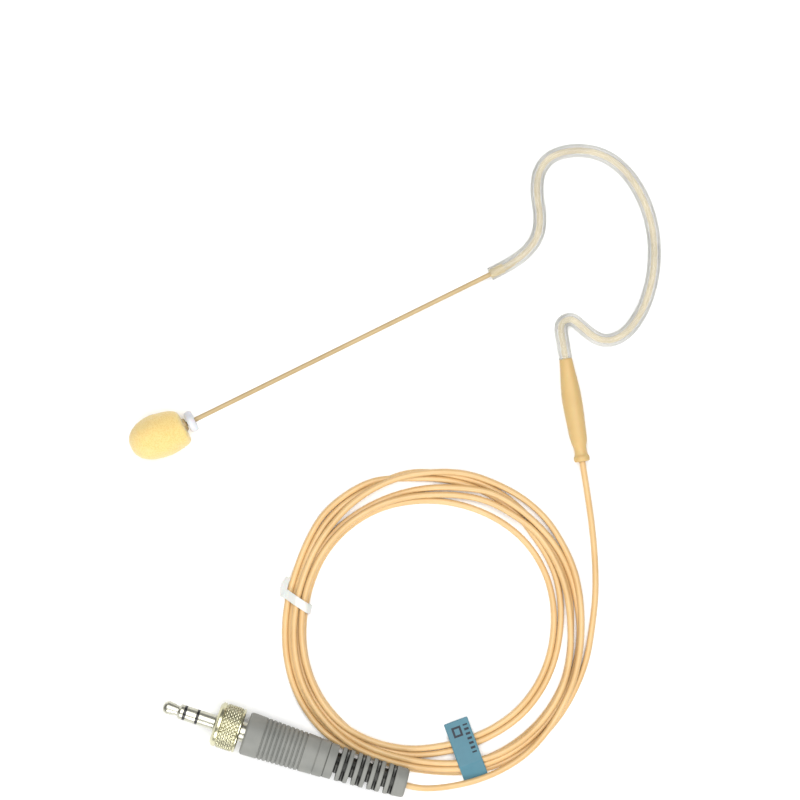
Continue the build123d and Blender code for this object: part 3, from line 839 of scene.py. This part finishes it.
def add_handle():
    """Tapered grip with ten ring grooves and a fine marker line near its rear."""
    start, end = 19.7, 39.3
    front_r, rear_r = 5.0, 4.25
    first_groove, pitch, groove_count = 24.0, 1.06, 10
    depth = 0.22
    half_width = 0.15
    marker = 36.7

    def skin(s):
        return front_r + (rear_r - front_r) * (s - start) / (end - start)

    outline = [(2.35, start), (front_r - 0.35, start), (skin(start + 0.5), start + 0.5)]
    for i in range(groove_count):
        s = first_groove + pitch * i
        outline += [(skin(s) + 0.03, s - half_width - 0.08), (skin(s) - depth, s - half_width + 0.06)]
        outline += [(skin(s) - depth, s + half_width - 0.06), (skin(s) + 0.03, s + half_width + 0.08)]
    outline += [(skin(marker), marker), (skin(marker) - 0.14, marker + 0.1)]
    outline += [(skin(marker) - 0.14, marker + 0.22), (skin(marker), marker + 0.32)]
    outline += [(rear_r, end - 0.25), (rear_r - 0.2, end), (2.6, end), (2.6, 36.0), (3.2, 36.0)]
    outline += [(3.2, 21.8), (2.35, 21.8)]
    handle = turned("grip_shell", softened(outline, 0.12, 3, True), PLUG_MATRIX, 128, True)
    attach(handle, "headset")
    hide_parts("plug_handle")
    dress(handle, "plug_grey")
    return handle


def add_boot():
    """Boot of slats on a core, joined by pairs of ribs that turn a quarter from slot to slot. It
    bends a little under the cable's pull."""
    start, collar_end, last_slat_end, end = 39.3, 41.4, 56.5, 58.4
    front_r, rear_r = 4.1, 3.35
    core_r = 1.5
    slot_count = 8
    rib_half = 0.9
    rib_turn = 17.0
    bend_start = 40.5
    bend = math.radians(3.0)
    pitch = (last_slat_end - collar_end) / slot_count
    slot_width = 0.46 * pitch

    def skin(s):
        return front_r + (rear_r - front_r) * (s - start) / (end - start)

    outline = [(0.85, start + 0.02), (front_r - 0.12, start + 0.02), (skin(start + 0.2), start + 0.2)]
    for i in range(slot_count):
        s = collar_end + pitch * i
        outline += [(skin(s), s), (core_r, s + 0.02)]
        outline += [(core_r, s + slot_width - 0.02), (skin(s), s + slot_width)]
    outline += [(rear_r, end - 0.4), (rear_r - 0.35, end), (0.85, end)]
    boot = turned("slotted_boot", softened(outline, 0.28, 4, True), PLUG_MATRIX, 96, True)
    ribs = []
    for i in range(slot_count):
        s = collar_end + pitch * i
        turn = rib_turn + 90 * (i % 2)
        ribs.append(rib_block(skin(s) - 0.12, rib_half, s - 0.1, s + slot_width + 0.1, turn))
    work = bmesh.new()
    work.from_mesh(boot.data)
    for mesh in ribs:
        work.from_mesh(mesh)
        bpy.data.meshes.remove(mesh)
    length = (end - bend_start) * MM
    for vertex in work.verts:
        beyond = vertex.co.z - bend_start * MM
        if beyond > 0:
            turn = bend * beyond / length
            reach = length / bend
            across = vertex.co.y
            vertex.co.y = -reach * (1 - math.cos(turn)) + across * math.cos(turn)
            vertex.co.z = bend_start * MM + reach * math.sin(turn) + across * math.sin(turn)
    work.to_mesh(boot.data)
    work.free()
    boot.modifiers.clear()
    shade_smooth(boot)
    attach(boot, "headset")
    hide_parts("strain_boot")
    dress(boot, "boot_grey")
    return boot


def rib_block(radius, half_width, start, end, turn_deg):
    """Bar through the axis, its two ends following the slats' round edge."""
    edge = []
    rotation = Matrix.Rotation(math.radians(turn_deg), 2)
    widest = math.asin(half_width / radius)
    steps = 8
    for side in (0.0, math.pi):
        for k in range(steps + 1):
            angle = side - widest + 2 * widest * k / steps
            edge.append(rotation @ Vector((radius * math.cos(angle), radius * math.sin(angle))))
    vertices = [(spot.x * MM, spot.y * MM, s * MM) for s in (start, end) for spot in edge]
    count = len(edge)
    faces = [list(range(count))[::-1], list(range(count, 2 * count))]
    for k in range(count):
        n = (k + 1) % count
        faces.append((k, n, count + n, count + k))
    mesh = bpy.data.meshes.new("rib")
    mesh.from_pydata(vertices, [], faces)
    mesh.update()
    return mesh


# ---- tie and label ---------------------------------------------------------------------------
def strands_at(spots, angle_deg):
    """(radius, height) of every strand that crosses this angle of the coil."""
    found = []
    station = angle_deg / 360 * STATIONS_PER_TURN
    while station < len(spots) - 1:
        i = int(station)
        share = station - i
        low, high = spots[i], spots[i + 1]
        found.append((low[0] + (high[0] - low[0]) * share, low[1] + (high[1] - low[1]) * share))
        station += STATIONS_PER_TURN
    return found


def add_tie(spots):
    """White band drawn round the bundle, slightly askew, with its free end along the outer strand."""
    middle = 190.8
    width = 2.2
    thickness = 0.28
    slant = 0.42
    slack = 0.18
    outer_bulge, inner_bulge = 0.8, 0.4
    strands = strands_at(spots, middle)
    middle_r = sum(radius for radius, _ in strands) / len(strands)
    steps = 64
    loop = []
    for k in range(steps):
        angle = 2 * math.pi * k / steps
        across, up = math.cos(angle), math.sin(angle)
        radius, height = max(strands, key=lambda strand: strand[0] * across + strand[1] * up)
        reach = CABLE_R + slack + (outer_bulge if across > 0 else inner_bulge) * abs(across) ** 3
        loop.append((radius + reach * across, max(height + reach * up, 0.16)))
    outer_r, outer_height = max(strands)
    meshes = [
        band_mesh(loop, width, thickness, middle, middle_r, slant),
        loose_end(outer_r + CABLE_R + 0.5, outer_height + 0.5, thickness, middle + 0.6),
    ]
    work = bmesh.new()
    for mesh in meshes:
        work.from_mesh(mesh)
        bpy.data.meshes.remove(mesh)
    mesh = bpy.data.meshes.new("tie_band")
    work.to_mesh(mesh)
    work.free()
    band = add_object("tie_band", mesh)
    clean_normals(band)
    edges = band.modifiers.new("soft_edges", "BEVEL")
    edges.width = 0.08 * MM
    edges.segments = 2
    edges.limit_method = "ANGLE"
    band.data.polygons.foreach_set("use_smooth", [True] * len(band.data.polygons))
    band.modifiers.new("even_shading", "WEIGHTED_NORMAL").weight = 60
    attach(band, "headset")
    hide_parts("cable_tie")
    dress(band, "tie_white")
    return band


def band_mesh(path, width, thickness, angle_deg, middle_r, slant):
    """Flat band round a loop of (radius, height) in the upright plane at one angle of the coil."""
    vertices = []
    count = len(path)
    angle = -math.radians(angle_deg)
    outward = Vector((math.cos(angle), math.sin(angle), 0))
    sideways = Vector((-math.sin(angle), math.cos(angle), 0))
    middle = Vector((*COIL_CENTRE, 0))
    for i, (radius, height) in enumerate(path):
        along = (Vector(path[(i + 1) % count]) - Vector(path[i - 1])).normalized()
        normal = Vector((along.y, -along.x))
        for depth in (-thickness / 2, thickness / 2):
            spot = Vector((radius, height)) + normal * depth
            for side in (-width / 2, width / 2):
                shift = side - slant * (radius - middle_r)
                vertices.append((middle + outward * spot.x + sideways * shift + Vector((0, 0, spot.y))) * MM)
    faces = []
    corners = (0, 1, 3, 2)
    for i in range(count):
        n = (i + 1) % count
        for a, b in zip(corners, corners[1:] + corners[:1]):
            faces.append((4 * i + a, 4 * i + b, 4 * n + b, 4 * n + a))
    mesh = bpy.data.meshes.new("band")
    mesh.from_pydata(vertices, [], faces)
    mesh.update()
    return mesh


def loose_end(radius, height, thickness, angle_deg):
    """The band's free end, lying back along the outermost strand and narrowing."""
    reach_deg = 7.6
    tilt = math.radians(-38)
    half_width, narrowing = 1.05, 0.45
    bow = 0.35
    rise = 0.35
    steps = 14
    corners = (0, 1, 3, 2)
    vertices = []
    faces = [corners, tuple(4 * steps + k for k in corners)]
    for k in range(steps + 1):
        t = k / steps
        angle = -math.radians(angle_deg + reach_deg * t)
        outward = Vector((math.cos(angle), math.sin(angle), 0)) * math.cos(tilt)
        across = outward + Vector((0, 0, math.sin(tilt)))
        normal = outward.normalized() * -math.sin(tilt) + Vector((0, 0, math.cos(tilt)))
        half = half_width - narrowing * t ** 2
        bowed = radius + bow * math.sin(math.pi * t)
        spot = Vector(coil_place(angle_deg + reach_deg * t, bowed, height + rise * t))
        for depth in (-thickness / 2, thickness / 2):
            for side in (-half, half):
                vertices.append((spot + across * side + normal * depth) * MM)
    for k in range(steps):
        for a, b in zip(corners, corners[1:] + corners[:1]):
            faces.append((4 * k + a, 4 * k + b, 4 * k + 4 + b, 4 * k + 4 + a))
    mesh = bpy.data.meshes.new("loose_end")
    mesh.from_pydata(vertices, [], faces)
    mesh.update()
    return mesh


def add_label(spots):
    """Film tag that rests on the strands under it and curls up a little at its outer end."""
    centre = Vector((16.3, -102.65, 0))
    turn = -69.8
    length, width = 13.9, 5.7
    steps_along, steps_across = 70, 28
    thickness = 0.12
    relaxing_steps = 3000
    outer_curl, outer_curl_start = 0.5, 3.5
    inner_curl, inner_curl_start = 0.25, 2.5
    dish = 0.012
    strands = strands_at(spots, -turn)
    # The turn that the tail leaves ends before the label. The first turn's start stands for it.
    strands.append(strands_at(spots, 0)[0])
    centre_r = (centre - Vector((*COIL_CENTRE, 0))).length
    reaches = [-length / 2 + length * i / steps_along for i in range(steps_along + 1)]
    bearing = []
    for reach in reaches:
        top = 0.3
        for radius, height in strands:
            across = centre_r + reach - radius
            if abs(across) < CABLE_R + 0.1:
                top = max(top, height + math.sqrt((CABLE_R + 0.1) ** 2 - across ** 2))
        bearing.append(top)
    heights = list(bearing)
    for _ in range(relaxing_steps):
        for i in range(1, steps_along):
            heights[i] = max(bearing[i], (heights[i - 1] + heights[i + 1]) / 2)
        heights[0] = max(bearing[0], 2 * heights[1] - heights[2])
        heights[-1] = max(bearing[-1], 2 * heights[-2] - heights[-3])
    for i, reach in enumerate(reaches):
        heights[i] += outer_curl * max(0.0, (reach - outer_curl_start) / 3.45) ** 2
        heights[i] += inner_curl * max(0.0, (-reach - inner_curl_start) / 4.4) ** 2
    vertices = []
    for i, reach in enumerate(reaches):
        for j in range(steps_across + 1):
            side = -width / 2 + width * j / steps_across
            vertices.append((reach * MM, side * MM, (heights[i] + dish * side ** 2) * MM))
    row = steps_across + 1
    faces = []
    for i in range(steps_along):
        for j in range(steps_across):
            first = i * row + j
            faces.append((first, first + row, first + row + 1, first + 1))
    label = mesh_object("label_strip", vertices, faces)
    label.matrix_world = Matrix.Translation(centre * MM) @ Matrix.Rotation(math.radians(turn), 4, "Z")
    label.data.polygons.foreach_set("use_smooth", [True] * len(label.data.polygons))
    film = label.modifiers.new("film", "SOLIDIFY")
    film.thickness = thickness * MM
    film.offset = 1.0
    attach(label, "headset")
    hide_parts("label_tag")
    dress(label, "label_blue")
    return label


# ---- everything in place ---------------------------------------------------------------------
def dress_cad_nodes():
    """Finishes for the CAD nodes that no piece stands for."""
    for part in frame["record"]["subparts"]:
        node = frame["nodes"][part["node"]]
        node.data.materials.clear()
        node.data.materials.append(MATERIALS[part["material_slot"]])


BOOM_AXIS = tuple(JOINTS["windscreen_pull"]["axis"])
SLEEVE_TOP = HOOK_ROUTE[-1]
SLEEVE_AXIS = tuple(Vector((0.16, -0.987, 0)).normalized())
PLUG_AXIS = -Vector(JOINTS["lock_nut_spin"]["axis"])
NUT_MIDDLE = 16.0
PLUG_TIP = Vector(JOINTS["lock_nut_spin"]["pos_m"]) / MM - PLUG_AXIS * NUT_MIDDLE
PLUG_MATRIX = axis_matrix(PLUG_TIP, PLUG_AXIS)

MATERIALS = slot_materials()
add_camera()
add_light()
add_table()
coil = settled_coil(coil_radii())
cable = add_cable(coil)
dress_cad_nodes()
add_windscreen()
add_sweat_ring()
add_ear_hook()
add_junction_sleeve()
on_cable = add_jack() + [add_lock_nut(), add_handle(), add_boot(), add_tie(coil), add_label(coil)]
IN_THE_PLUG = (
    "cable_clamp", "nut_circlip", "tip_lug", "ring_lug", "sleeve_lug", "tip_wire", "ring_wire", "sleeve_wire"
)
on_cable += [frame["nodes"][name] for name in IN_THE_PLUG]
